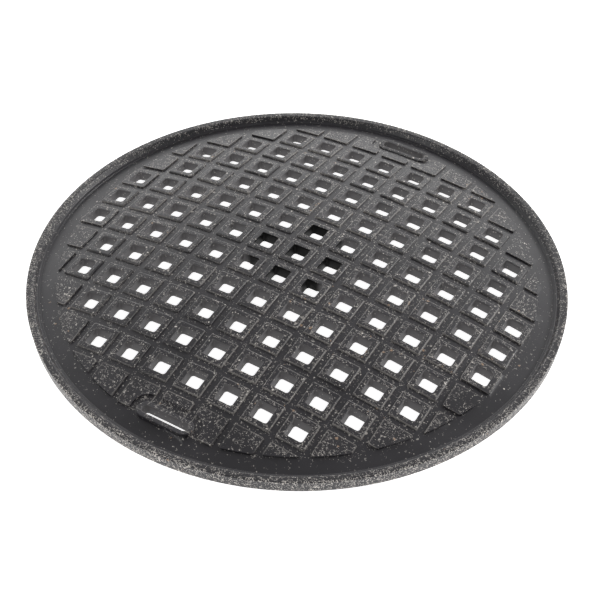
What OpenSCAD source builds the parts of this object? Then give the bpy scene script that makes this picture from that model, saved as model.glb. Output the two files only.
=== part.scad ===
// Round grill plate: one casting with a domed field of square pads, a hole through each pad,
// a gutter, an upturned rim and two lifting slots. Two thin coats cover the casting: a
// stone-effect coat on the cooking side, and a plain coat below and on the walls of the holes.
// The seat ring stands on z = 0, and the plate's axis is Z.

/* [Rim] */
// Outside diameter of the plate, over the rim
plate_d = 294.2; // [292:0.2:297]
// Height of the rim's top above the seat
rim_h = 7.5; // [7:0.1:8.5]
// Width of the rim's flat top
rim_w = 3.9; // [3:0.1:4.5]
// Horizontal run of the rim's sloping inner wall
rim_slope = 1.8; // [1:0.1:2]
// Width of the low ledge at the foot of the rim's inner wall
ledge_w = 1.5; // [1:0.1:2]
// Height of the ledge above the gutter's floor
ledge_h = 0.6; // [0.5:0.1:1]
// Height of the gutter's floor above the seat
gutter_h = 3.9; // [3.6:0.1:4.2]
// Inside radius of the seat ring that the plate rests on
seat_in_r = 132; // [131.5:0.1:134]

/* [Crown] */
// Height of the pad tops above the seat, at the middle
crown_h = 20.6; // [20:0.1:21]
// Radius of the sphere that the pad tops lie on
crown_r = 626; // [615:1:640]
// Thickness of the plate through a pad
pad_t = 5.6; // [5:0.1:5.7]
// Depth of the grooves between the pads
groove_depth = 1.0; // [1:0.1:2]
// Radius of the round field that the pads fill
field_r = 131; // [129:0.5:131.5]
// Radius of the thicker hub under the middle
hub_r = 26; // [24:0.5:28]
// How much the hub adds to the thickness
hub_t = 1; // [0.7:0.1:2]

/* [Pads and holes] */
// Distance from one pad to the next
pitch = 20; // [19.6:0.1:20]
// Width of a square pad
pad_w = 16; // [15:0.1:17]
// Width of a square hole
hole_w = 9.6; // [8:0.1:10]

/* [Lifting slots] */
// Distance from the plate's axis to the middle of a slot
slot_y = 126; // [125:0.5:126]
// Length of a slot, over its round ends
slot_l = 27; // [22:0.5:28]
// Width of a slot
slot_w = 4.6; // [4.4:0.1:5]
// Width of the raised wall round a slot
boss_wall = 2.7; // [2:0.1:3]
// Height of that wall's top above the seat
boss_h = 8.4; // [8:0.1:9]
// Width of the channel round the wall
channel_w = 4; // [3:0.1:4.5]

/* [Coats] */
// Thickness that both coats are drawn with
coat = 0.3; // [0.25:0.05:0.4]

/* [Hidden] */

// Rows of holes on each side of the middle one, and pads in the middle row on each side
hole_rows = 5;
pad_rows = 6;
// A cell has a hole when the square of its distance from the middle, in pitches, is within this
hole_reach = 37;
// A pad is left out when its nearest corner is further from the middle than this, in pitches,
// and for that test a pad reaches this far to each side of its middle
pad_reach = 6.4;
half_pad = 0.4;
// Small chamfer along the rim's top edge
edge_cut = 0.4;
// The outer wall leans in by wall_lean on its way down, and has a small chamfer at its foot too
wall_lean = 0.6;
foot_run = 0.5;
foot_rise = 0.5;
// How far joined shapes run into each other, and how far cutters run past what they cut
overlap = 2;
past = 1;

rim_r = plate_d / 2;
crown_z = crown_h - crown_r;
wall_top_r = rim_r - rim_w;
wall_foot_r = wall_top_r - rim_slope;
ledge_in_r = wall_foot_r - ledge_w;
rim_in_r = seat_in_r - overlap;
hub_z = crown_h - pad_t - hub_t;
// The dome's cap is cut off inside the ledge, where it has run down below the gutter's floor
cap_r = ledge_in_r - 0.5;
tall = 40;

// Every size below is for the coated surface, and skin sinks it under that surface

// A straight-sided outline with round ends, lying along X
module racetrack(length, width) {
    square([length - width, width], center = true);
    for (x = [-1, 1])
        translate([x * (length - width) / 2, 0]) circle(d = width, $fn = 48);
}

// Puts its children at both lifting slots
module at_slots() {
    for (side = [-1, 1])
        translate([0, side * slot_y]) children();
}

// All that lies under a sphere about the crown's middle, within reach of the axis
module cap(radius, reach, bottom) {
    intersection() {
        translate([0, 0, crown_z]) sphere(radius, $fn = 360);
        translate([0, 0, bottom]) cylinder(r = reach, h = tall, $fn = 240);
    }
}

// The rim with its ledge and gutter, as a ring round the cap
module rim(skin) {
    rotate_extrude($fn = 240)
        polygon([
            [rim_in_r, 0],
            [rim_r - wall_lean - foot_run - skin, 0],
            [rim_r - wall_lean - skin, foot_rise],
            [rim_r - skin, rim_h - edge_cut - skin],
            [rim_r - edge_cut - skin, rim_h - skin],
            [wall_top_r + skin, rim_h - skin],
            [wall_foot_r + skin, gutter_h + ledge_h - skin],
            [ledge_in_r + skin, gutter_h + ledge_h - skin],
            [ledge_in_r + skin, gutter_h - skin],
            [rim_in_r, gutter_h - skin]
        ]);
}

// Nearest distance from the middle to a pad's corner, in pitches
function near_corner(i, j) = norm([max(abs(i) - half_pad, 0), max(abs(j) - half_pad, 0)]);

// The pads in plan: whole inside the field, clipped by its edge and by the channels
module pad_plan(skin) {
    difference() {
        intersection() {
            circle(field_r - skin, $fn = 240);
            for (i = [-pad_rows : pad_rows], j = [-pad_rows : pad_rows])
                if (near_corner(i, j) < pad_reach)
                    translate([i, j] * pitch) square(pad_w - 2 * skin, center = true);
        }
        at_slots() racetrack(slot_l + 2 * (boss_wall + channel_w + skin),
                             slot_w + 2 * (boss_wall + channel_w + skin));
    }
}

// The plate from above, before anything is cut away
module body(skin) {
    cap(crown_r - groove_depth - skin, cap_r, 0);
    rim(skin);
    intersection() {
        cap(crown_r - skin, cap_r, 0);
        linear_extrude(tall) pad_plan(skin);
    }
    linear_extrude(boss_h - skin)
        at_slots() racetrack(slot_l + 2 * (boss_wall - skin), slot_w + 2 * (boss_wall - skin));
}

// The space under the dome, with the hub standing down into it
module under_space(skin) {
    difference() {
        cap(crown_r - pad_t + skin, seat_in_r + skin, -past);
        translate([0, 0, hub_z + skin]) cylinder(r = hub_r - skin, h = tall, $fn = 96);
    }
}

// The square holes and the lifting slots, as they go through the plate
module openings(skin) {
    translate([0, 0, -past])
        linear_extrude(tall) {
            for (i = [-pad_rows : pad_rows], j = [-hole_rows : hole_rows])
                if (i * i + j * j <= hole_reach)
                    translate([i, j] * pitch) square(hole_w + 2 * skin, center = true);
            at_slots() racetrack(slot_l + 2 * skin, slot_w + 2 * skin);
        }
}

// The whole plate as it is seen, or the bare casting when skin is the coat
module plate_form(skin) {
    difference() {
        body(skin);
        under_space(skin);
        openings(skin);
    }
}

module plate_casting() {
    color("silver") plate_form(coat);
}

module cooking_coating() {
    color("dimgray")
        difference() {
            body(0);
            body(coat);
            openings(coat);
        }
}

module underside_coating() {
    color("darkslategray")
        intersection() {
            plate_form(0);
            union() {
                under_space(coat);
                openings(coat);
            }
        }
}

plate_casting();
cooking_coating();
underside_coating();
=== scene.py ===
import math

import bmesh
import bpy
from mathutils import Matrix, Vector


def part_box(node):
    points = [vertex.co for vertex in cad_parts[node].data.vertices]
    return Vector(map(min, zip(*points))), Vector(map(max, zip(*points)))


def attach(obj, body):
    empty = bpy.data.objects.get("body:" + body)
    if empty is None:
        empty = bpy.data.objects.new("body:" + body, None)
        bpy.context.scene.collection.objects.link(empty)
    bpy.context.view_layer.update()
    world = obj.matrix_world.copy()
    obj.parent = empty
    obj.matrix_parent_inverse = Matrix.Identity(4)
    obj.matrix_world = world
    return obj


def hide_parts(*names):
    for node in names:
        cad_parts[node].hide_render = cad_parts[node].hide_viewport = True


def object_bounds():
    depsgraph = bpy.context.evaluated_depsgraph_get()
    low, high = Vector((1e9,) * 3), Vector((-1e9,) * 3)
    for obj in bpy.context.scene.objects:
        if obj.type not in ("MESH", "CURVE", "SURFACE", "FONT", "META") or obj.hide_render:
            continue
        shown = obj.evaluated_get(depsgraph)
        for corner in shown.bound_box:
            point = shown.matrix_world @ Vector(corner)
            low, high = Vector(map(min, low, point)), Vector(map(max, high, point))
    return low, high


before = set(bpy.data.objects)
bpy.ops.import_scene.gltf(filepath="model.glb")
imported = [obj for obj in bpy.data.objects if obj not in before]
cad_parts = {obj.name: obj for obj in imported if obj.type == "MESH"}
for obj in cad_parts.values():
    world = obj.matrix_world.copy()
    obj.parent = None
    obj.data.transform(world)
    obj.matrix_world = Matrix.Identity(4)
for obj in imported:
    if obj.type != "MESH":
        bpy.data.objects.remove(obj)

bl_info = {
    "name": "Grill plate",
    "version": (1, 0, 0),
    "blender": (4, 5, 0),
    "location": "View3D > Sidebar > Grill plate",
    "description": "Models the coats of a round cast grill plate round its packed casting",
    "category": "Object",
}

MM = 0.001
CAD_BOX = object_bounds()
CAST_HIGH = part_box("plate_casting")[1]
COOK_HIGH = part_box("cooking_coating")[1]

# Rows of pads and rows of holes on each side of the middle one
PAD_ROWS = 6
HOLE_ROWS = 5
# In pitches: the square of how far out a hole may lie, how far a pad reaches to each side of its
# middle, and how far out its nearest corner may lie
HOLE_REACH_SQUARED = 37
HALF_PAD = 0.4
PAD_REACH = 6.4


# Sizes and colours that a user would change

def length(name, description, default):
    """A length property in metres, given in millimetres"""
    return bpy.props.FloatProperty(
        name=name, description=description, default=default * MM,
        min=0.0, unit="LENGTH", subtype="DISTANCE", precision=5)


def colour(name, description, default):
    """A colour property"""
    return bpy.props.FloatVectorProperty(
        name=name, description=description, default=default,
        min=0.0, max=1.0, size=3, subtype="COLOR")


def factor(name, description, default):
    """A number from 0 to 1"""
    return bpy.props.FloatProperty(
        name=name, description=description, default=default, min=0.0, max=1.0, subtype="FACTOR")


def angle(name, description, default):
    """An angle property, given in degrees"""
    return bpy.props.FloatProperty(
        name=name, description=description, default=math.radians(default),
        subtype="ANGLE", unit="ROTATION")


class GrillPlateSizes(bpy.types.PropertyGroup):
    """Sizes of the coated plate"""

    crown_r: length("Crown radius", "Radius of the sphere the pad tops lie on", 626)
    pad_t: length("Pad thickness", "Thickness of the plate through a pad", 5.6)
    groove: length("Groove depth", "Depth of the grooves between the pads", 1.0)
    field_r: length("Field radius", "Radius of the round field of pads", 131)
    hub_r: length("Hub radius", "Radius of the thicker hub under the middle", 26)
    hub_z: length("Hub height", "Height of the hub's flat underside above the seat", 14.0)
    pitch: length("Pitch", "Distance from one pad to the next", 20)
    pad_w: length("Pad width", "Width of a square pad at its foot", 16.3)
    pad_corner: length("Pad corner", "Rounding of a pad's corners in plan", 0.9)
    pad_edge: length("Pad edge", "Rounding along a pad's top edge", 0.8)
    hole_w: length("Hole width", "Width of a square hole", 9.6)
    hole_corner: length("Hole corner", "Rounding of a hole's corners in plan", 1.4)
    hole_lip: length("Hole lip", "Rounding of a hole's upper edge", 0.7)
    rim_h: length("Rim height", "Height of the rim's top above the seat", 7.5)
    rim_w: length("Rim width", "Width of the rim's flat top", 3.9)
    rim_slope: length("Rim slope", "Horizontal run of the rim's inner wall", 1.8)
    rim_edge: length("Rim edge", "Rounding of the rim's top edges", 0.6)
    ledge_w: length("Ledge width", "Width of the ledge at the rim's foot", 1.5)
    ledge_h: length("Ledge height", "Height of the ledge above the gutter", 0.6)
    gutter_h: length("Gutter height", "Height of the gutter's floor above the seat", 3.9)
    seat_in_r: length("Seat radius", "Inside radius of the seat ring", 132)
    slot_y: length("Slot place", "Distance from the axis to the middle of a lifting slot", 126)
    slot_l: length("Slot length", "Length of a slot over its round ends", 27)
    slot_w: length("Slot width", "Width of a slot", 4.6)
    boss_wall: length("Boss wall", "Width of the raised wall round a slot", 2.7)
    boss_h: length("Boss height", "Height of that wall's top above the seat", 8.4)
    channel_w: length("Channel width", "Width of the channel round that wall", 4)


class GrillPlateFinish(bpy.types.PropertyGroup):
    """Colours and sheen of the plate"""

    coat_colour: colour("Coat", "Colour of the non-stick coat", (0.0160, 0.0146, 0.0178))
    plain_colour: colour("Plain coat", "Colour of the coat underneath", (0.070, 0.066, 0.068))
    speck_colour: colour("Specks", "Colour of the pale specks", (0.66, 0.62, 0.57))
    tan_colour: colour("Tan flecks", "Colour of the few tan flecks", (0.34, 0.23, 0.15))
    # Painted shade: the near-black colour put on the underside coat at the hub
    painted_hub_shade_colour: colour("Hub shade", "Colour of the painted shade on the hub", (0.008, 0.008, 0.008))
    metal_colour: colour("Metal", "Colour of the bare casting", (0.60, 0.60, 0.58))
    coat_roughness: factor("Coat roughness", "Roughness of the non-stick coat", 0.42)
    plain_roughness: factor("Plain roughness", "Roughness of the coat underneath", 0.5)
    metal_roughness: factor("Metal roughness", "Roughness of the bare casting", 0.38)
    floor_colour: colour("Floor", "Colour of the floor", (0.9, 0.9, 0.9))


class GrillPlateView(bpy.types.PropertyGroup):
    """Where the camera stands"""

    azimuth: angle("Azimuth", "How far round the plate the camera's axis comes from", 30.034)
    elevation: angle("Elevation", "How far the camera's axis looks down", 43.755)
    roll: angle("Roll", "How far the camera leans to its side", 1.026)
    lens: bpy.props.FloatProperty(
        name="Lens", description="Focal length on a 36 mm sensor, in millimetres", default=77.69)
    place: bpy.props.FloatVectorProperty(
        name="Place", description="Where the camera stands", default=(0.26375, -0.45286, 0.48663),
        size=3, subtype="TRANSLATION", unit="LENGTH", precision=5)


# Modelling helpers

def deselect():
    """Leaves edit mode and selects nothing"""
    if bpy.context.object and bpy.context.object.mode != "OBJECT":
        bpy.ops.object.mode_set(mode="OBJECT")
    bpy.ops.object.select_all(action="DESELECT")


def activate(piece):
    """Selects one object alone"""
    deselect()
    piece.select_set(True)
    bpy.context.view_layer.objects.active = piece


def edit(piece):
    """Opens one object in edit mode with nothing selected in it"""
    activate(piece)
    bpy.ops.object.mode_set(mode="EDIT")
    bpy.ops.mesh.select_mode(type="VERT")
    bpy.ops.mesh.select_all(action="DESELECT")


def done():
    """Leaves edit mode"""
    bpy.ops.object.mode_set(mode="OBJECT")


def pick(kind, test):
    """Selects the vertices, edges or faces of the open mesh that pass a test, and counts them"""
    bpy.ops.mesh.select_mode(type=kind)
    mesh = bmesh.from_edit_mesh(bpy.context.object.data)
    items = {"VERT": mesh.verts, "EDGE": mesh.edges, "FACE": mesh.faces}[kind]
    for item in items:
        item.select = False
    found = 0
    for item in items:
        if test(item):
            item.select_set(True)
            found += 1
    mesh.select_flush_mode()
    bmesh.update_edit_mesh(bpy.context.object.data)
    return found


def place_applied(piece):
    """Puts an object's place, turn and scale into its mesh"""
    activate(piece)
    bpy.ops.object.transform_apply(location=True, rotation=True, scale=True)
    return piece


def twin(piece, offset=(0, 0, 0)):
    """A copy of a piece with its own mesh, moved by an offset that is put into the mesh"""
    activate(piece)
    bpy.ops.object.duplicate(linked=False)
    copy = bpy.context.object
    copy.location = Vector(offset)
    return place_applied(copy)


def joined(pieces):
    """Several pieces as one object"""
    activate(pieces[0])
    for piece in pieces:
        piece.select_set(True)
    bpy.ops.object.join()
    return bpy.context.object


def drop(piece):
    """Removes a helper object"""
    activate(piece)
    bpy.ops.object.delete()


def apply_modifier(piece, kind, **settings):
    """Adds a modifier with its settings and applies it"""
    activate(piece)
    modifier = piece.modifiers.new(kind.title(), kind)
    for name, value in settings.items():
        setattr(modifier, name, value)
    bpy.ops.object.modifier_apply(modifier=modifier.name)
    return piece


def cut(piece, tool, operation, keep_tool=False):
    """Cuts, joins or clips a solid with another one"""
    apply_modifier(piece, "BOOLEAN", operation=operation, solver="MANIFOLD", object=tool)
    if not keep_tool:
        drop(tool)
    return piece


def drum(name, radius, low, high, sides=240):
    """A plain round disc about the axis"""
    deselect()
    bpy.ops.mesh.primitive_cylinder_add(
        vertices=sides, radius=radius, depth=high - low, location=(0, 0, (low + high) / 2))
    piece = place_applied(bpy.context.object)
    piece.name = name
    return piece


def racetrack(name, long, wide, low, high, sides=48):
    """A straight-sided block with round ends, lying along X"""
    piece = drum(name, wide / 2, low, high, sides)
    edit(piece)
    for side in (-1, 1):
        pick("VERT", lambda v: v.co.x * side > wide * 0.001)
        bpy.ops.transform.translate(value=(side * (long - wide) / 2, 0, 0))
        bpy.ops.mesh.select_all(action="DESELECT")
    done()
    return piece


def block(name, width, low, high):
    """A plain square block about the axis"""
    deselect()
    bpy.ops.mesh.primitive_cube_add(size=1, location=(0, 0, (low + high) / 2))
    piece = bpy.context.object
    piece.name = name
    piece.scale = (width, width, high - low)
    return place_applied(piece)


def rounded_block(name, width, corner, low, high, segments):
    """A square block about the axis with its upright edges rounded"""
    piece = block(name, width, low, high)
    edit(piece)
    pick("EDGE", lambda e: abs(e.verts[0].co.z - e.verts[1].co.z) > (high - low) / 2)
    bpy.ops.mesh.bevel(offset=corner, offset_type="OFFSET", segments=segments, profile=0.5)
    done()
    return piece


def round_top(piece, high, radius, segments):
    """Rounds the edges that bound the flat top of a block"""
    edit(piece)
    near = radius * 0.05

    def bounds_top(edge):
        tops = [f for f in edge.link_faces if abs(f.calc_center_median().z - high) < near]
        return len(tops) == 1 and all(abs(v.co.z - high) < near for v in edge.verts)

    pick("EDGE", bounds_top)
    bpy.ops.mesh.bevel(offset=radius, offset_type="OFFSET", segments=segments, profile=0.5,
                       clamp_overlap=True)
    done()
    return piece


def flared(piece, start, lip, half, steps=3):
    """Widens a block's upper end like a trumpet, so that a hole it cuts gets a rounded upper edge.
    The flare runs on from the end at start, lip further up and lip wider, and then a short way
    straight up. Half is half the end's length and width."""
    edit(piece)
    pick("FACE", lambda f: abs(f.calc_center_median().z - start) < lip * 0.05)
    wide = Vector(half)
    turns = [math.pi / 2 * n / steps for n in range(steps + 1)]
    for a, b in zip(turns, turns[1:]):
        out = lip * (math.cos(a) - math.cos(b))
        rise = lip * (math.sin(b) - math.sin(a))
        bpy.ops.mesh.extrude_region_move(TRANSFORM_OT_translate={"value": (0, 0, rise)})
        grown = wide + Vector((out, out))
        bpy.ops.transform.resize(value=(grown.x / wide.x, grown.y / wide.y, 1),
                                 center_override=(0, 0, start))
        wide = grown
    bpy.ops.mesh.extrude_region_move(TRANSFORM_OT_translate={"value": (0, 0, lip * 3)})
    done()
    return piece


def lathe(name, corners, steps=240):
    """A ring turned about the axis from a closed outline of (radius, height, rounding) corners,
    where rounding is the radius that the corner is rounded with, or 0"""
    deselect()
    bpy.ops.mesh.primitive_plane_add(size=0.001)
    piece = bpy.context.object
    piece.name = name
    edit(piece)
    bpy.ops.mesh.select_all(action="SELECT")
    bpy.ops.mesh.merge(type="CENTER")
    here = Vector((0, 0))
    for n, corner in enumerate(corners):
        there = Vector(corner[:2])
        step, here = there - here, there
        if n == 0:
            bpy.ops.transform.translate(value=(step.x, 0, step.y))
        else:
            bpy.ops.mesh.extrude_region_move(
                TRANSFORM_OT_translate={"value": (step.x, 0, step.y)})
    bpy.ops.mesh.select_all(action="SELECT")
    bpy.ops.mesh.edge_face_add()
    for radius, height, rounding in corners:
        if rounding:
            place = Vector((radius, 0, height))
            pick("VERT", lambda v: (v.co - place).length < 0.02 * MM)
            bpy.ops.mesh.bevel(offset=rounding, offset_type="OFFSET", segments=3, profile=0.5,
                               affect="VERTICES")
    bpy.ops.mesh.select_all(action="SELECT")
    bpy.ops.mesh.spin(steps=steps, angle=2 * math.pi, center=(0, 0, 0), axis=(0, 0, 1))
    bpy.ops.mesh.select_all(action="SELECT")
    bpy.ops.mesh.remove_doubles(threshold=0.005 * MM)
    if pick("FACE", lambda f: len(f.verts) > 4):
        bpy.ops.mesh.delete(type="ONLY_FACE")
    bpy.ops.mesh.select_all(action="SELECT")
    bpy.ops.mesh.normals_make_consistent(inside=False)
    done()
    return piece


# The plate's outer form, as it is with its coats on

def fall(radius, size):
    """How far the crown's sphere has fallen at a distance from the axis"""
    return size.crown_r - math.sqrt(size.crown_r ** 2 - radius ** 2)


def domed(piece, size, middle):
    """Bends a flat piece onto the crown's sphere. A flat height of 0 ends at the crown's top, and
    upright walls stay upright. Middle is the flat height that the bend is truest at."""
    edit(piece)
    before = len(piece.data.vertices)
    bpy.ops.mesh.primitive_plane_add(size=0.1 * MM, location=(0, 0, middle))
    bpy.ops.mesh.merge(type="CENTER")
    bpy.ops.transform.translate(
        value=(0, 0, size.crown_r), use_proportional_edit=True,
        proportional_edit_falloff="SPHERE", proportional_size=size.crown_r)
    bpy.ops.mesh.delete(type="VERT")
    bpy.ops.mesh.select_all(action="SELECT")
    bpy.ops.transform.translate(value=(0, 0, CAD_BOX[1][2] - size.crown_r))
    done()
    if len(piece.data.vertices) != before:
        raise RuntimeError("the bend's helper point was not removed from " + piece.name)
    return piece


def cells():
    """The rows and columns that can hold a pad"""
    reach = range(-PAD_ROWS, PAD_ROWS + 1)
    return [(i, j) for i in reach for j in reach]


def hole_cells():
    """The rows and columns that have a hole"""
    return [(i, j) for i, j in cells()
            if i * i + j * j <= HOLE_REACH_SQUARED and abs(j) <= HOLE_ROWS]


def corner_reach(i, j, half):
    """Distance from the middle to a pad's nearest corner, or to its farthest for a negative half,
    in pitches"""
    return math.hypot(max(abs(i) - half, 0), max(abs(j) - half, 0))


def clipped(i, j, size):
    """Whether the field's edge or the channel round a slot cuts into this pad"""
    half = size.pad_w / 2
    if corner_reach(i, j, -half / size.pitch) * size.pitch > size.field_r - size.pad_edge:
        return True
    around = size.slot_w / 2 + size.boss_wall + size.channel_w
    dx = abs(i) * size.pitch - half - (size.slot_l - size.slot_w) / 2
    dy = abs(abs(j) * size.pitch - size.slot_y) - half
    return math.hypot(max(dx, 0), max(dy, 0)) < around


def pad_cells(size, cut_into):
    """The cells of the pads that the field's edge or a channel cuts into, or of the whole ones"""
    return [(i, j) for i, j in cells()
            if corner_reach(i, j, HALF_PAD) < PAD_REACH and clipped(i, j, size) == cut_into]


def pad_foot(size):
    """The flat height that pads start from, well inside the crown"""
    return -2 * size.groove


def spread(piece, places, size):
    """Copies a piece to each cell and joins the copies"""
    made = [twin(piece, (i * size.pitch, j * size.pitch, 0)) for i, j in places]
    drop(piece)
    return joined(made)


def whole_pads(size):
    """The pads that nothing cuts into: one rounded pad, copied"""
    pad = rounded_block("whole_pads", size.pad_w, size.pad_corner, pad_foot(size), 0, 2)
    round_top(pad, 0, size.pad_edge, 2)
    return spread(pad, pad_cells(size, False), size)


def at_slots(piece, size):
    """Moves a piece from the axis to one lifting slot, and puts a copy at the other"""
    other = twin(piece, (0, -size.slot_y, 0))
    activate(piece)
    piece.location.y = size.slot_y
    place_applied(piece)
    return joined([piece, other])


def cut_pads(size):
    """The pads at the field's edge and round the slots, clipped there and then rounded"""
    low = pad_foot(size)
    pads = spread(block("cut_pads", size.pad_w, low, 0), pad_cells(size, True), size)
    cut(pads, drum("field", size.field_r, 2 * low, -low, 120), "INTERSECT")
    around = 2 * (size.boss_wall + size.channel_w)
    channel = racetrack("channels", size.slot_l + around, size.slot_w + around, 2 * low, -low)
    cut(pads, at_slots(channel, size), "DIFFERENCE")
    edit(pads)
    bpy.ops.mesh.select_all(action="SELECT")
    bpy.ops.mesh.remove_doubles(threshold=0.4 * MM)
    bpy.ops.mesh.select_all(action="SELECT")
    bpy.ops.mesh.dissolve_limited(angle_limit=math.radians(0.5))
    pick("EDGE", lambda e: abs(e.verts[0].co.z - e.verts[1].co.z) > -low / 2
         and len(e.link_faces) == 2 and e.calc_face_angle(0) > math.radians(20))
    bpy.ops.mesh.bevel(offset=size.pad_corner, offset_type="OFFSET", segments=2, profile=0.5)
    done()
    return round_top(pads, 0, size.pad_edge, 2)


def hub(size):
    """The thicker middle of the underside, flat below once it is domed. It starts inside the
    metal."""
    low = size.hub_z - CAD_BOX[1][2]
    piece = drum("hub", size.hub_r, low + fall(size.hub_r, size), -size.pad_t * 0.7, 96)
    edit(piece)
    pick("FACE", lambda f: f.normal.z < -0.9)
    rings = [size.hub_r * part for part in (1, 0.66, 0.33)]
    for out, into in zip(rings, rings[1:]):
        bpy.ops.mesh.inset(thickness=out - into)
        bpy.ops.transform.translate(value=(0, 0, fall(into, size) - fall(out, size)))
    done()
    return piece


def hole_cutters(size):
    """A cutter for every hole, flared where the hole meets the pad's top"""
    deep = -3 * size.pad_t
    tool = rounded_block("holes", size.hole_w, size.hole_corner, deep, -size.hole_lip, 3)
    half = (size.hole_w / 2, size.hole_w / 2)
    flared(tool, -size.hole_lip, size.hole_lip, half)
    return spread(tool, hole_cells(), size)


def scored(piece, size):
    """Cuts the flat crown's faces along every half pitch, so that they bend with it"""
    edit(piece)
    lines = 2 * PAD_ROWS + 1
    for along in (Vector((1, 0, 0)), Vector((0, 1, 0))):
        for n in range(-lines, lines + 1):
            bpy.ops.mesh.select_all(action="SELECT")
            bpy.ops.mesh.bisect(plane_co=along * n * size.pitch / 2, plane_no=along)
    done()
    return piece


def crown(size):
    """The domed middle with its pads, grooves, holes and hub"""
    inside_ledge = size_ring(size)["ledge_in"] - 0.5 * MM
    piece = drum("crown", inside_ledge, -size.pad_t, -size.groove)
    cut(piece, whole_pads(size), "UNION")
    cut(piece, cut_pads(size), "UNION")
    cut(piece, hub(size), "UNION")
    scored(piece, size)
    cut(piece, hole_cutters(size), "DIFFERENCE")
    return domed(piece, size, -size.pad_t / 2)


def size_ring(size):
    """The rim's radii, from its outside inwards"""
    outer = CAD_BOX[1][0]
    top_in = outer - size.rim_w
    foot = top_in - size.rim_slope
    return {"outer": outer, "top_in": top_in, "foot": foot, "ledge_in": foot - size.ledge_w}


def rim(size):
    """The seat, outer wall, rim, ledge and gutter, turned as one ring"""
    ring = size_ring(size)
    ledge_z = size.gutter_h + size.ledge_h
    lean = 0.6 * MM
    chamfer = 0.5 * MM
    wall_foot = ring["outer"] - lean
    return lathe("rim", [
        (size.seat_in_r, 0, 0),
        (wall_foot - chamfer, 0, 0),
        (wall_foot, chamfer, 0.45 * MM),
        (ring["outer"], size.rim_h, size.rim_edge),
        (ring["top_in"], size.rim_h, size.rim_edge),
        (ring["foot"], ledge_z, 0.5 * MM),
        (ring["ledge_in"], ledge_z, 0.35 * MM),
        (ring["ledge_in"], size.gutter_h, 0.25 * MM),
        (size.seat_in_r, size.gutter_h, 0)])


def bosses(size):
    """The raised walls round the slots, with a rounded top. They start inside the metal."""
    low = size.gutter_h + 0.95 * MM
    around = 2 * size.boss_wall
    wall = racetrack("bosses", size.slot_l + around, size.slot_w + around, low, size.boss_h)
    round_top(wall, size.boss_h, 0.6 * MM, 3)
    return at_slots(wall, size)


def slot_cutters(size):
    """Cutters for both slots, flared at the wall's top"""
    lip = 0.5 * MM
    tool = racetrack("slots", size.slot_l, size.slot_w, -5 * MM, size.boss_h - lip)
    flared(tool, size.boss_h - lip, lip, (size.slot_l / 2, size.slot_w / 2))
    return at_slots(tool, size)


def plate_form(size):
    """The whole plate's outer form"""
    piece = crown(size)
    cut(piece, rim(size), "UNION")
    cut(piece, bosses(size), "UNION")
    cut(piece, slot_cutters(size), "DIFFERENCE")
    piece.name = "plate_form"
    return piece


# The coats, as what the form has over the casting

def casting_copy():
    """A closed copy of the casting, let down a little below its seat so that the seat stays bare"""
    core = twin(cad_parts["plate_casting"])
    core.name = "core"
    for key in [k for k in core.keys() if k.startswith("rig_")]:
        del core[key]
    core.parent = None
    core.data.materials.clear()
    edit(core)
    bpy.ops.mesh.select_all(action="SELECT")
    bpy.ops.mesh.remove_doubles(threshold=0.0005 * MM)
    pick("FACE", lambda f: all(v.co.z < 0.01 * MM for v in f.verts))
    bpy.ops.mesh.extrude_region_move(TRANSFORM_OT_translate={"value": (0, 0, -MM)})
    done()
    return core


def below(size):
    """All that is under the middle of the casting's thickness, and in its holes and slots"""
    coat = COOK_HIGH[0] - CAST_HIGH[0]
    wider = 2 * coat + 0.1 * MM
    past = 50 * MM
    under = drum("under", size.seat_in_r + 2 * MM, -40 * MM, -(size.groove + size.pad_t) / 2, 120)
    scored(under, size)
    domed(under, size, -size.pad_t / 2)
    holes = spread(block("hole_walls", size.hole_w + wider, -past, past), hole_cells(), size)
    cut(under, holes, "UNION")
    slots = racetrack("slot_walls", size.slot_l + wider, size.slot_w + wider, -past, past)
    return cut(under, at_slots(slots, size), "UNION")


def smoothed(piece):
    """Shades a finished piece smooth across its roundings, and keeps its flats flat"""
    activate(piece)
    bpy.ops.object.shade_smooth_by_angle(angle=math.radians(35))
    apply_modifier(piece, "WEIGHTED_NORMAL", keep_sharp=True, weight=80)
    return piece


def coats(size):
    """The cooking side's coat and the plain one below, parted where they meet"""
    shell = plate_form(size)
    cut(shell, casting_copy(), "DIFFERENCE")
    divider = below(size)
    plain = twin(shell)
    plain.name = "plain_coat"
    shell.name = "speckled_coat"
    cut(plain, divider, "INTERSECT", keep_tool=True)
    cut(shell, divider, "DIFFERENCE")
    for piece in (shell, plain):
        edit(piece)
        bpy.ops.mesh.select_all(action="SELECT")
        bpy.ops.mesh.remove_doubles(threshold=0.001 * MM)
        bpy.ops.mesh.select_all(action="SELECT")
        bpy.ops.mesh.delete_loose()
        done()
        smoothed(piece)
    return shell, plain


# Materials

def add(tree, kind, inputs=None, **settings):
    """A node with its settings, and its inputs set or linked"""
    node = tree.nodes.new(kind)
    for name, value in settings.items():
        setattr(node, name, value)
    for key, value in (inputs or {}).items():
        if isinstance(value, bpy.types.NodeSocket):
            tree.links.new(value, node.inputs[key])
        else:
            node.inputs[key].default_value = value
    return node


def calc(tree, operation, a, b=0.0, c=0.0, clamp=False):
    """The result of one sum on the surface"""
    node = add(tree, "ShaderNodeMath", {0: a, 1: b, 2: c}, operation=operation, use_clamp=clamp)
    return node.outputs[0]


def ramp(tree, value, low, high, out_low=0.0, out_high=1.0):
    """A smooth step: out_low up to low, out_high from high on"""
    node = add(tree, "ShaderNodeMapRange",
               {"Value": value, "From Min": low, "From Max": high,
                "To Min": out_low, "To Max": out_high}, interpolation_type="SMOOTHSTEP")
    return node.outputs["Result"]


def blend(tree, mask, a, b):
    """Colour a where the mask is 0 and colour b where it is 1"""
    node = add(tree, "ShaderNodeMix", {0: mask, 6: a, 7: b}, data_type="RGBA")
    return node.outputs[2]


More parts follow.
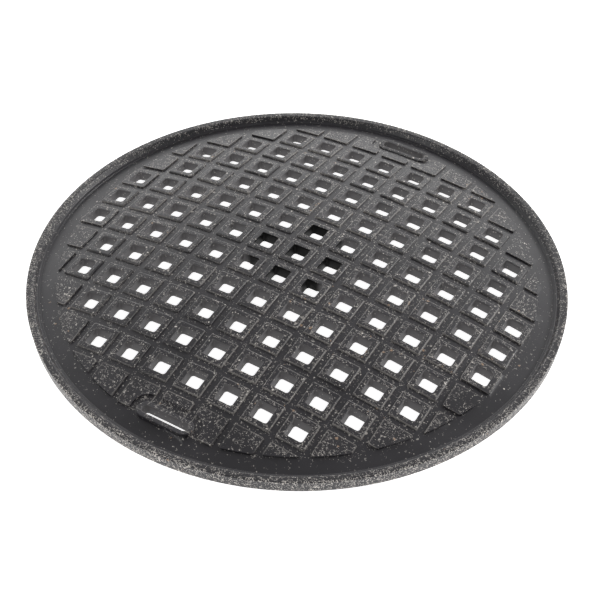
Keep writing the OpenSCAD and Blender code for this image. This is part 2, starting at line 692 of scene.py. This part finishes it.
def group(name, inputs, outputs):
    """An empty node group with named sockets, and its input and output nodes"""
    tree = bpy.data.node_groups.new(name, "ShaderNodeTree")
    for label, kind, default in inputs:
        socket = tree.interface.new_socket(name=label, in_out="INPUT", socket_type=kind)
        if default is not None:
            socket.default_value = default
    for label, kind in outputs:
        tree.interface.new_socket(name=label, in_out="OUTPUT", socket_type=kind)
    return tree, tree.nodes.new("NodeGroupInput"), tree.nodes.new("NodeGroupOutput")


def speck_group():
    """Flecks sprayed into the coat. Cell is how far apart they can lie, Size how large they are
    in cells, Share how many cells have one, and Ragged how uneven their outline is, in metres."""
    tree, given, out = group(
        "Flecks",
        [("Place", "NodeSocketVector", None), ("Cell", "NodeSocketFloat", 0.001),
         ("Size", "NodeSocketFloat", 0.3), ("Share", "NodeSocketFloat", 0.5),
         ("Ragged", "NodeSocketFloat", 0.0003)],
        [("Mask", "NodeSocketFloat"), ("Tint", "NodeSocketFloat")])
    noise = add(tree, "ShaderNodeTexNoise",
                {"Vector": given.outputs["Place"],
                 "Scale": calc(tree, "DIVIDE", 1.6, given.outputs["Cell"]), "Detail": 2.0})
    centred = add(tree, "ShaderNodeVectorMath",
                  {0: noise.outputs["Color"], 1: (0.5, 0.5, 0.5)}, operation="SUBTRACT")
    push = add(tree, "ShaderNodeVectorMath",
               {0: centred.outputs[0], "Scale": given.outputs["Ragged"]}, operation="SCALE")
    place = add(tree, "ShaderNodeVectorMath", {0: given.outputs["Place"], 1: push.outputs[0]},
                operation="ADD")
    cell = add(tree, "ShaderNodeTexVoronoi",
               {"Vector": place.outputs[0],
                "Scale": calc(tree, "DIVIDE", 1.0, given.outputs["Cell"])})
    random = add(tree, "ShaderNodeSeparateColor", {0: cell.outputs["Color"]})
    size = calc(tree, "MULTIPLY", given.outputs["Size"],
                calc(tree, "MULTIPLY_ADD", random.outputs["Green"], 0.8, 0.4))
    near = ramp(tree, calc(tree, "DIVIDE", cell.outputs["Distance"], size), 1.0, 0.6)
    chosen = calc(tree, "LESS_THAN", random.outputs["Red"], given.outputs["Share"])
    tree.links.new(calc(tree, "MULTIPLY", near, chosen), out.inputs["Mask"])
    tree.links.new(random.outputs["Blue"], out.inputs["Tint"])
    return tree


def thread_group():
    """Thin broken threads in the coat. Scale sets how close they lie, Width how thick they are
    and Share how much of them is kept."""
    tree, given, out = group(
        "Threads",
        [("Place", "NodeSocketVector", None), ("Scale", "NodeSocketFloat", 900.0),
         ("Width", "NodeSocketFloat", 0.03), ("Share", "NodeSocketFloat", 0.5)],
        [("Mask", "NodeSocketFloat")])
    line = add(tree, "ShaderNodeTexNoise",
               {"Vector": given.outputs["Place"], "Scale": given.outputs["Scale"], "Detail": 1.0})
    gap = add(tree, "ShaderNodeTexNoise",
              {"Vector": given.outputs["Place"],
               "Scale": calc(tree, "MULTIPLY", given.outputs["Scale"], 0.83), "Detail": 2.0})
    off = calc(tree, "ABSOLUTE", calc(tree, "SUBTRACT", line.outputs["Fac"], 0.5))
    thin = ramp(tree, calc(tree, "DIVIDE", off, given.outputs["Width"]), 1.0, 0.3)
    need = calc(tree, "MULTIPLY_ADD", given.outputs["Share"], -0.36, 0.68)
    kept = ramp(tree, calc(tree, "SUBTRACT", gap.outputs["Fac"], need), -0.03, 0.03)
    tree.links.new(calc(tree, "MULTIPLY", thin, kept), out.inputs["Mask"])
    return tree


def skin_group():
    """The uneven skin of a sand casting under paint: a height for bumps and a patchy mask"""
    tree, given, out = group(
        "Cast skin",
        [("Place", "NodeSocketVector", None), ("Fine", "NodeSocketFloat", 1.0),
         ("Wavy", "NodeSocketFloat", 1.0)],
        [("Height", "NodeSocketFloat"), ("Patch", "NodeSocketFloat")])
    fine = add(tree, "ShaderNodeTexNoise",
               {"Vector": given.outputs["Place"], "Scale": 1500.0, "Detail": 4.0,
                "Roughness": 0.6})
    wavy = add(tree, "ShaderNodeTexNoise",
               {"Vector": given.outputs["Place"], "Scale": 160.0, "Detail": 3.0})
    patch = add(tree, "ShaderNodeTexNoise",
                {"Vector": given.outputs["Place"], "Scale": 28.0, "Detail": 3.0})
    height = calc(tree, "ADD",
                  calc(tree, "MULTIPLY", fine.outputs["Fac"], given.outputs["Fine"]),
                  calc(tree, "MULTIPLY", wavy.outputs["Fac"], given.outputs["Wavy"]))
    tree.links.new(height, out.inputs["Height"])
    tree.links.new(ramp(tree, patch.outputs["Fac"], 0.35, 0.65), out.inputs["Patch"])
    return tree


def place_group(size):
    """Where on the plate a point is: its radius, and how far it is from its pad's middle,
    measured square"""
    tree, given, out = group(
        "Place on plate", [("Place", "NodeSocketVector", None)],
        [("Radius", "NodeSocketFloat"), ("Square", "NodeSocketFloat")])
    parts = add(tree, "ShaderNodeSeparateXYZ", {0: given.outputs["Place"]})
    x, y = parts.outputs["X"], parts.outputs["Y"]
    flat = add(tree, "ShaderNodeCombineXYZ", {0: x, 1: y})
    far = add(tree, "ShaderNodeVectorMath", {0: flat.outputs[0]}, operation="LENGTH")
    half = size.pitch / 2
    square = calc(tree, "MAXIMUM",
                  calc(tree, "ABSOLUTE", calc(tree, "WRAP", x, half, -half)),
                  calc(tree, "ABSOLUTE", calc(tree, "WRAP", y, half, -half)))
    tree.links.new(far.outputs["Value"], out.inputs["Radius"])
    tree.links.new(square, out.inputs["Square"])
    return tree


def material(name):
    """A new material with a Principled shader, and the piece's own coordinates"""
    made = bpy.data.materials.new(name)
    made.use_nodes = True
    tree = made.node_tree
    place = add(tree, "ShaderNodeTexCoord").outputs["Object"]
    return made, tree, tree.nodes["Principled BSDF"], place


def use(tree, name, inputs):
    """The outputs of a node group placed in a material with its own values"""
    node = add(tree, "ShaderNodeGroup", inputs, node_tree=bpy.data.node_groups[name])
    return node.outputs


def bumped(tree, shader, height, strength, distance):
    """Feeds a height to the shader's normal through a bump"""
    bump = add(tree, "ShaderNodeBump",
               {"Height": height, "Strength": strength, "Distance": distance})
    tree.links.new(bump.outputs["Normal"], shader.inputs["Normal"])


def rgba(values):
    """A colour with full alpha"""
    return (*values, 1.0)


def stone_coat(finish, size):
    """Satin charcoal with pale flecks, denser on the pads and the rim than in the gutter, and a
    painted highlight along the pads' top edges
    """
    made, tree, shader, place = material("stone_coat")
    where = use(tree, "Place on plate", {"Place": place})
    skin = use(tree, "Cast skin", {"Place": place, "Fine": 0.5, "Wavy": 1.2})
    radius, square = where["Radius"], where["Square"]
    ring, field, pad = size_ring(size), size.field_r, size.pad_w / 2
    gutter = calc(tree, "MULTIPLY", ramp(tree, radius, field - MM, field + 1.5 * MM),
                  ramp(tree, radius, ring["foot"] + 0.8 * MM, ring["foot"] - 0.2 * MM))
    groove = calc(tree, "MULTIPLY", ramp(tree, square, pad - 0.05 * MM, pad + 0.45 * MM),
                  ramp(tree, radius, field + 0.5 * MM, field - MM))
    sparse = calc(tree, "MULTIPLY", calc(tree, "MULTIPLY_ADD", gutter, -0.86, 1.0),
                  calc(tree, "MULTIPLY_ADD", groove, -0.50, 1.0))
    patchy = calc(tree, "MULTIPLY", sparse, calc(tree, "MULTIPLY_ADD", skin["Patch"], 0.5, 0.7))
    on_rim = ramp(tree, radius, ring["foot"] + 0.6 * MM, ring["foot"] + 1.4 * MM)
    wall = ramp(tree, radius, ring["outer"] - 1.6 * MM, ring["outer"] - 0.8 * MM)
    fine = use(tree, "Flecks", {
        "Place": place, "Cell": 0.0007, "Size": 0.40, "Ragged": 0.0007,
        "Share": calc(tree, "MULTIPLY", patchy, 0.42)})
    coarse = use(tree, "Flecks", {
        "Place": place, "Cell": 0.0017, "Size": 0.33, "Ragged": 0.0017,
        "Share": calc(tree, "MULTIPLY", patchy,
                      calc(tree, "MULTIPLY_ADD", wall, 0.40, 0.24))})
    brown = use(tree, "Flecks", {
        "Place": place, "Cell": 0.0026, "Size": 0.30, "Ragged": 0.0018,
        "Share": calc(tree, "MULTIPLY", calc(tree, "MULTIPLY", sparse, 0.16),
                      ramp(tree, skin["Patch"], 0.72, 1.0))})
    threads = use(tree, "Threads", {
        "Place": place, "Scale": 560.0, "Width": 0.034,
        "Share": calc(tree, "MULTIPLY", patchy,
                      calc(tree, "MULTIPLY_ADD", wall, 0.25,
                           calc(tree, "MULTIPLY_ADD", on_rim, 0.20, 0.36)))})
    specks = calc(tree, "MAXIMUM",
                  calc(tree, "MULTIPLY", fine["Mask"],
                       calc(tree, "MULTIPLY_ADD", fine["Tint"], 0.9, 0.1)),
                  calc(tree, "MULTIPLY", coarse["Mask"],
                       calc(tree, "MULTIPLY_ADD", coarse["Tint"], 0.75, 0.25)))
    pale = calc(tree, "MAXIMUM", specks,
                calc(tree, "MULTIPLY", threads["Mask"],
                     calc(tree, "MULTIPLY_ADD", wall, 0.40, 0.50)))
    # Painted highlight: pale bands along the top edge of every pad stand in for the thin highlight
    # lines that the rounded edges catch
    near_edge = calc(tree, "MULTIPLY", ramp(tree, square, pad - 0.67 * MM, pad - 0.35 * MM),
                     ramp(tree, square, pad + 0.09 * MM, pad - 0.09 * MM))
    edge = calc(tree, "MULTIPLY", near_edge, ramp(tree, radius, field, field - MM))
    painted_edge_highlight = calc(tree, "MULTIPLY", calc(tree, "MULTIPLY_ADD", skin["Patch"], 0.20, 0.02), edge)
    pale = calc(tree, "MAXIMUM", pale, painted_edge_highlight)
    base = blend(tree, skin["Patch"], rgba(finish.coat_colour),
                 rgba([c * 1.25 for c in finish.coat_colour]))
    flecked = blend(tree, pale, base, rgba(finish.speck_colour))
    tanned = blend(tree, calc(tree, "MULTIPLY", brown["Mask"], 0.8), flecked,
                   rgba(finish.tan_colour))
    tree.links.new(tanned, shader.inputs["Base Color"])
    rough = finish.coat_roughness
    tree.links.new(calc(tree, "ADD", ramp(tree, skin["Patch"], 0, 1, rough - 0.04, rough + 0.04),
                        calc(tree, "MULTIPLY", pale, 0.15)), shader.inputs["Roughness"])
    lumps = calc(tree, "ADD", skin["Height"],
                 calc(tree, "MULTIPLY", calc(tree, "MAXIMUM", pale, brown["Mask"]), 0.35))
    bumped(tree, shader, lumps, 0.5, 0.00012)
    return made


def plain_coat(finish, size):
    """Plain charcoal below, with painted shade on the hub: near black and metallic there, so that
    the hub's hole walls look as dark as deep shade
    """
    made, tree, shader, place = material("plain_coat")
    where = use(tree, "Place on plate", {"Place": place})
    skin = use(tree, "Cast skin", {"Place": place, "Fine": 0.7, "Wavy": 1.4})
    few = use(tree, "Flecks", {"Place": place, "Cell": 0.0014, "Size": 0.36, "Share": 0.30,
                               "Ragged": 0.001})
    plain = rgba(finish.plain_colour)
    base = blend(tree, skin["Patch"], plain, rgba([c * 1.4 for c in finish.plain_colour]))
    dusted = blend(tree, calc(tree, "MULTIPLY", few["Mask"], 0.4), base,
                   rgba(finish.speck_colour))
    # Painted shade: near black on the hub, standing in for the deep shade under the plate's middle
    hub_shade_mask = ramp(tree, where["Radius"], size.hub_r * 1.10, size.hub_r * 0.97)
    hub_with_painted_shade = blend(tree, hub_shade_mask, dusted, rgba(finish.painted_hub_shade_colour))
    tree.links.new(hub_with_painted_shade, shader.inputs["Base Color"])
    tree.links.new(hub_shade_mask, shader.inputs["Metallic"])
    rough = finish.plain_roughness
    tree.links.new(ramp(tree, skin["Patch"], 0, 1, rough - 0.05, rough + 0.08),
                   shader.inputs["Roughness"])
    bumped(tree, shader, skin["Height"], 0.6, 0.00015)
    return made


def cast_metal(finish):
    """Bare cast aluminium, turned smooth on the seat"""
    made, tree, shader, place = material("cast_aluminium")
    where = use(tree, "Place on plate", {"Place": place})
    skin = use(tree, "Cast skin", {"Place": place, "Fine": 1.0, "Wavy": 1.0})
    turned = calc(tree, "MULTIPLY",
                  calc(tree, "SINE", calc(tree, "MULTIPLY", where["Radius"], 9000.0)), 0.3)
    metal = rgba(finish.metal_colour)
    tree.links.new(blend(tree, skin["Patch"], metal, rgba([c * 0.75 for c in finish.metal_colour])),
                   shader.inputs["Base Color"])
    shader.inputs["Metallic"].default_value = 1.0
    rough = finish.metal_roughness
    tree.links.new(ramp(tree, skin["Patch"], 0, 1, rough - 0.08, rough + 0.1),
                   shader.inputs["Roughness"])
    bumped(tree, shader, calc(tree, "ADD", skin["Height"], turned), 0.5, 0.0001)
    return made


# Operators, one for each piece or group of like pieces

class GRILL_OT_finishes(bpy.types.Operator):
    """Builds the node groups that the materials share"""

    bl_idname = "grill.finishes"
    bl_label = "Shared finishes"

    def execute(self, context):
        speck_group()
        thread_group()
        skin_group()
        place_group(context.scene.plate_sizes)
        return {"FINISHED"}


class GRILL_OT_casting(bpy.types.Operator):
    """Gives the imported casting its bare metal"""

    bl_idname = "grill.casting"
    bl_label = "Casting"

    def execute(self, context):
        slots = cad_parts["plate_casting"].data.materials
        slots.clear()
        slots.append(cast_metal(context.scene.plate_finish))
        return {"FINISHED"}


class GRILL_OT_coats(bpy.types.Operator):
    """Models the speckled and the plain coat round the casting"""

    bl_idname = "grill.coats"
    bl_label = "Coats"

    def execute(self, context):
        size, finish = context.scene.plate_sizes, context.scene.plate_finish
        speckled, plain = coats(size)
        for piece, skin, node, slot in (
                (speckled, stone_coat(finish, size), "cooking_coating", "stone_coat"),
                (plain, plain_coat(finish, size), "underside_coating", "plain_coat")):
            piece.data.materials.clear()
            piece.data.materials.append(skin)
            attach(piece, "root")
            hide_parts(node)
        return {"FINISHED"}


def soft_light(name, place, width, height, power):
    """A rectangular lamp that faces the plate's middle"""
    deselect()
    bpy.ops.object.light_add(type="AREA", location=place)
    lamp = bpy.context.object
    lamp.name = name
    lamp.data.shape = "RECTANGLE"
    lamp.data.size, lamp.data.size_y, lamp.data.energy = width, height, power
    lamp.rotation_euler = (-Vector(place)).to_track_quat("-Z", "Y").to_euler()


def room(view):
    """A room that is bright and low behind the plate, dim overhead and in front, and white at
    the horizon"""
    world = bpy.data.worlds.new("room")
    world.use_nodes = True
    tree = world.node_tree
    way = add(tree, "ShaderNodeTexCoord").outputs["Generated"]
    rise = add(tree, "ShaderNodeSeparateXYZ", {0: way}).outputs["Z"]
    behind = (-math.sin(view.azimuth), math.cos(view.azimuth), 0)
    back = add(tree, "ShaderNodeVectorMath", {0: way, 1: behind}, operation="DOT_PRODUCT")
    screen = calc(tree, "MULTIPLY", ramp(tree, back.outputs["Value"], -0.15, 0.65),
                  ramp(tree, rise, 0.80, 0.48))
    top = ramp(tree, rise, 0.85, 1.0)
    horizon = ramp(tree, rise, 0.14, 0.06)
    screen_light, fill_light, top_light, horizon_light = 1.95, 0.28, 0.3, 1.1
    light = calc(tree, "MULTIPLY_ADD", screen, screen_light, fill_light)
    light = calc(tree, "ADD", light, calc(tree, "MULTIPLY", top, top_light))
    light = calc(tree, "MAXIMUM", light, calc(tree, "MULTIPLY", horizon, horizon_light))
    background = tree.nodes["Background"]
    background.inputs["Color"].default_value = (1, 1, 1, 1)
    tree.links.new(light, background.inputs["Strength"])
    return world


class GRILL_OT_stage(bpy.types.Operator):
    """Sets up the light table, the soft lights, the room and the camera"""

    bl_idname = "grill.stage"
    bl_label = "Stage"

    def execute(self, context):
        finish, view = context.scene.plate_finish, context.scene.plate_view
        deselect()
        bpy.ops.mesh.primitive_plane_add(size=8, location=(0, 0, CAD_BOX[0][2]))
        floor = place_applied(bpy.context.object)
        floor.name = "floor"
        made, _, shader, _ = material("light_table")
        shader.inputs["Base Color"].default_value = rgba(finish.floor_colour)
        shader.inputs["Roughness"].default_value = 0.9
        shader.inputs["Specular IOR Level"].default_value = 0.0
        shader.inputs["Emission Color"].default_value = (1, 1, 1, 1)
        shader.inputs["Emission Strength"].default_value = 0.9
        floor.data.materials.append(made)

        context.scene.world = room(view)
        soft_light("front_softbox", (-0.62, -1.40, 1.06), width=0.35, height=0.2, power=6)
        soft_light("side_softbox", (1.15, 1.00, 0.75), width=0.25, height=0.25, power=14)
        context.scene.view_settings.view_transform = "Standard"

        bpy.ops.object.camera_add(location=view.place)
        camera = bpy.context.object
        camera.name = "camera"
        camera.rotation_mode = "QUATERNION"
        back = Vector((math.sin(view.azimuth) * math.cos(view.elevation),
                       -math.cos(view.azimuth) * math.cos(view.elevation),
                       math.sin(view.elevation)))
        level = (-back).to_track_quat("-Z", "Y").to_matrix()
        camera.rotation_quaternion = (level @ Matrix.Rotation(view.roll, 3, "Z")).to_quaternion()
        camera.data.lens = view.lens
        camera.data.sensor_width = 36
        camera.data.clip_start, camera.data.clip_end = 0.01, 20
        context.scene.camera = camera
        return {"FINISHED"}


class GRILL_PT_panel(bpy.types.Panel):
    """Lists the steps in the sidebar"""

    bl_idname = "GRILL_PT_panel"
    bl_label = "Grill plate"
    bl_space_type = "VIEW_3D"
    bl_region_type = "UI"
    bl_category = "Grill plate"

    def draw(self, context):
        for step in STEPS:
            self.layout.operator(step.bl_idname)
        for settings in ("plate_sizes", "plate_finish", "plate_view"):
            held = getattr(context.scene, settings)
            box = self.layout.box()
            for name in held.__annotations__:
                box.prop(held, name)


STEPS = (GRILL_OT_finishes, GRILL_OT_casting, GRILL_OT_coats, GRILL_OT_stage)
CLASSES = (GrillPlateSizes, GrillPlateFinish, GrillPlateView, *STEPS, GRILL_PT_panel)


def register():
    """Registers the classes and puts the settings on the scene"""
    for each in CLASSES:
        bpy.utils.register_class(each)
    scene = bpy.types.Scene
    scene.plate_sizes = bpy.props.PointerProperty(type=GrillPlateSizes)
    scene.plate_finish = bpy.props.PointerProperty(type=GrillPlateFinish)
    scene.plate_view = bpy.props.PointerProperty(type=GrillPlateView)


def unregister():
    """Takes the settings and the classes away again"""
    for name in ("plate_view", "plate_finish", "plate_sizes"):
        delattr(bpy.types.Scene, name)
    for each in reversed(CLASSES):
        bpy.utils.unregister_class(each)


def main():
    """Builds the plate and its stage"""
    register()
    bpy.ops.grill.finishes()
    bpy.ops.grill.casting()
    bpy.ops.grill.coats()
    bpy.ops.grill.stage()


if __name__ == "__main__":
    main()
